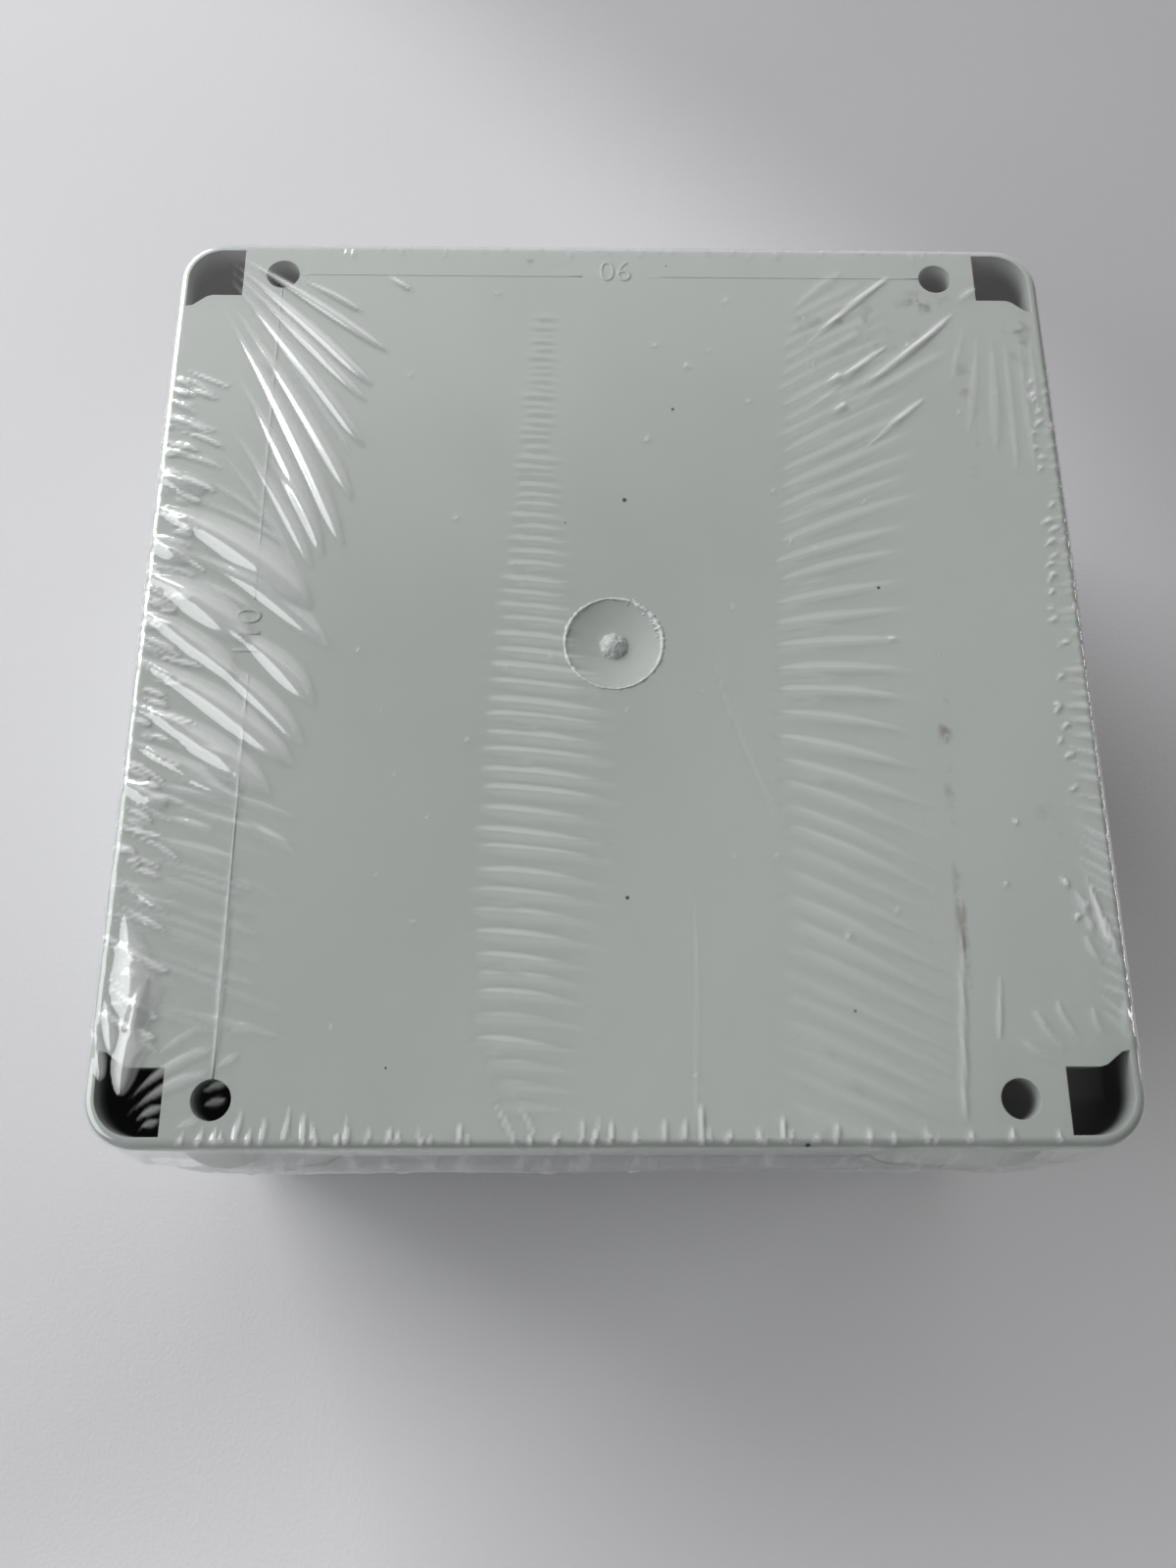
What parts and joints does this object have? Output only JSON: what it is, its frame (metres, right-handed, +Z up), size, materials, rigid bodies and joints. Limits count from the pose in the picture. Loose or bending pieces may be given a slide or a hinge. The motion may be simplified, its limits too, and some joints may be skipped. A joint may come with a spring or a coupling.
{
  "type": "electrical junction box",
  "caption": "Square moulded plastic junction box, shrink wrapped, lying on its screwed lid, with corner pockets, fixing holes and a sunken gate disc on its mounting face.",
  "frame": {"origin": "centre of the box in plan, on the surface that its lid lies on", "axes": "+Z up, out of the mounting face; +X across the narrower fixing spacing; +Y along the wider one"},
  "size_m": [0.1226, 0.127, 0.07],
  "materials": {
    "box_plastic": "fine satin moulded ABS, pale grey with a green cast",
    "lid_plastic": "fine satin moulded ABS, pale grey",
    "gasket_rubber": "matt black foamed rubber",
    "screw_steel": "bright zinc plated steel",
    "washer_rubber": "matt black rubber",
    "retainer_nylon": "translucent off-white nylon",
    "terminal_nylon": "off-white nylon",
    "brass": "turned brass",
    "zinc_steel": "zinc plated steel",
    "clear_wrap": "clear shrink film, tight, with drawn wrinkles"
  },
  "bodies": {
    "lid": {"lid": "lid_plastic", "lid_gasket": "gasket_rubber", "screw_retainer_1": "retainer_nylon", "screw_retainer_2": "retainer_nylon", "screw_retainer_3": "retainer_nylon", "screw_retainer_4": "retainer_nylon"},
    "box": {"back_box": "box_plastic", "terminal_block": "terminal_nylon", "terminal_tubes": "brass", "block_screws": "zinc_steel"},
    "wrap": {"shrink_wrap": "clear_wrap"},
    "washer_1": {"screw_washer_1": "washer_rubber"},
    "screw_1": {"lid_screw_1": "screw_steel"},
    "washer_2": {"screw_washer_2": "washer_rubber"},
    "screw_2": {"lid_screw_2": "screw_steel"},
    "washer_3": {"screw_washer_3": "washer_rubber"},
    "screw_3": {"lid_screw_3": "screw_steel"},
    "washer_4": {"screw_washer_4": "washer_rubber"},
    "screw_4": {"lid_screw_4": "screw_steel"},
    "clamp_1": {"clamp_screw_1": "zinc_steel"},
    "clamp_2": {"clamp_screw_2": "zinc_steel"},
    "clamp_3": {"clamp_screw_3": "zinc_steel"},
    "clamp_4": {"clamp_screw_4": "zinc_steel"},
    "clamp_5": {"clamp_screw_5": "zinc_steel"},
    "clamp_6": {"clamp_screw_6": "zinc_steel"}
  },
  "joints": [
    {"name": "box_lift", "type": "slide", "parent": "lid", "child": "box", "axis": [0, 0, 1], "range_m": [0, 0.09]},
    {"name": "wrap_lift", "type": "slide", "parent": "box", "child": "wrap", "axis": [0, 0, 1], "range_m": [0, 0.09]},
    {"name": "screw_1_draw", "type": "slide", "parent": "lid", "child": "washer_1", "axis": [0, 0, -1], "range_m": [0, 0.0056]},
    {"name": "screw_1_turn", "type": "hinge", "parent": "washer_1", "child": "screw_1", "pos_m": [-0.05435, -0.05535, 0], "axis": [0, 0, -1], "range_deg": [0, 1441]},
    {"name": "screw_2_draw", "type": "slide", "parent": "lid", "child": "washer_2", "axis": [0, 0, -1], "range_m": [0, 0.0056]},
    {"name": "screw_2_turn", "type": "hinge", "parent": "washer_2", "child": "screw_2", "pos_m": [0.05435, -0.05535, 0], "axis": [0, 0, -1], "range_deg": [0, 1441]},
    {"name": "screw_3_draw", "type": "slide", "parent": "lid", "child": "washer_3", "axis": [0, 0, -1], "range_m": [0, 0.0056]},
    {"name": "screw_3_turn", "type": "hinge", "parent": "washer_3", "child": "screw_3", "pos_m": [-0.05435, 0.05535, 0], "axis": [0, 0, -1], "range_deg": [0, 1441]},
    {"name": "screw_4_draw", "type": "slide", "parent": "lid", "child": "washer_4", "axis": [0, 0, -1], "range_m": [0, 0.0056]},
    {"name": "screw_4_turn", "type": "hinge", "parent": "washer_4", "child": "screw_4", "pos_m": [0.05435, 0.05535, 0], "axis": [0, 0, -1], "range_deg": [0, 1441]},
    {"name": "clamp_1_turn", "type": "hinge", "parent": "box", "child": "clamp_1", "pos_m": [-0.012, -0.005, 0.05], "axis": [0, 0, -1], "range_deg": [0, 720]},
    {"name": "clamp_2_turn", "type": "hinge", "parent": "box", "child": "clamp_2", "pos_m": [-0.012, 0.005, 0.05], "axis": [0, 0, -1], "range_deg": [0, 720]},
    {"name": "clamp_3_turn", "type": "hinge", "parent": "box", "child": "clamp_3", "pos_m": [0, -0.005, 0.05], "axis": [0, 0, -1], "range_deg": [0, 720]},
    {"name": "clamp_4_turn", "type": "hinge", "parent": "box", "child": "clamp_4", "pos_m": [0, 0.005, 0.05], "axis": [0, 0, -1], "range_deg": [0, 720]},
    {"name": "clamp_5_turn", "type": "hinge", "parent": "box", "child": "clamp_5", "pos_m": [0.012, -0.005, 0.05], "axis": [0, 0, -1], "range_deg": [0, 720]},
    {"name": "clamp_6_turn", "type": "hinge", "parent": "box", "child": "clamp_6", "pos_m": [0.012, 0.005, 0.05], "axis": [0, 0, -1], "range_deg": [0, 720]}
  ],
  "couplings": [
    {"joint": "screw_1_turn", "follows": "screw_1_draw", "rad_per_m": 4488},
    {"joint": "screw_2_turn", "follows": "screw_2_draw", "rad_per_m": 4488},
    {"joint": "screw_3_turn", "follows": "screw_3_draw", "rad_per_m": 4488},
    {"joint": "screw_4_turn", "follows": "screw_4_draw", "rad_per_m": 4488}
  ]
}
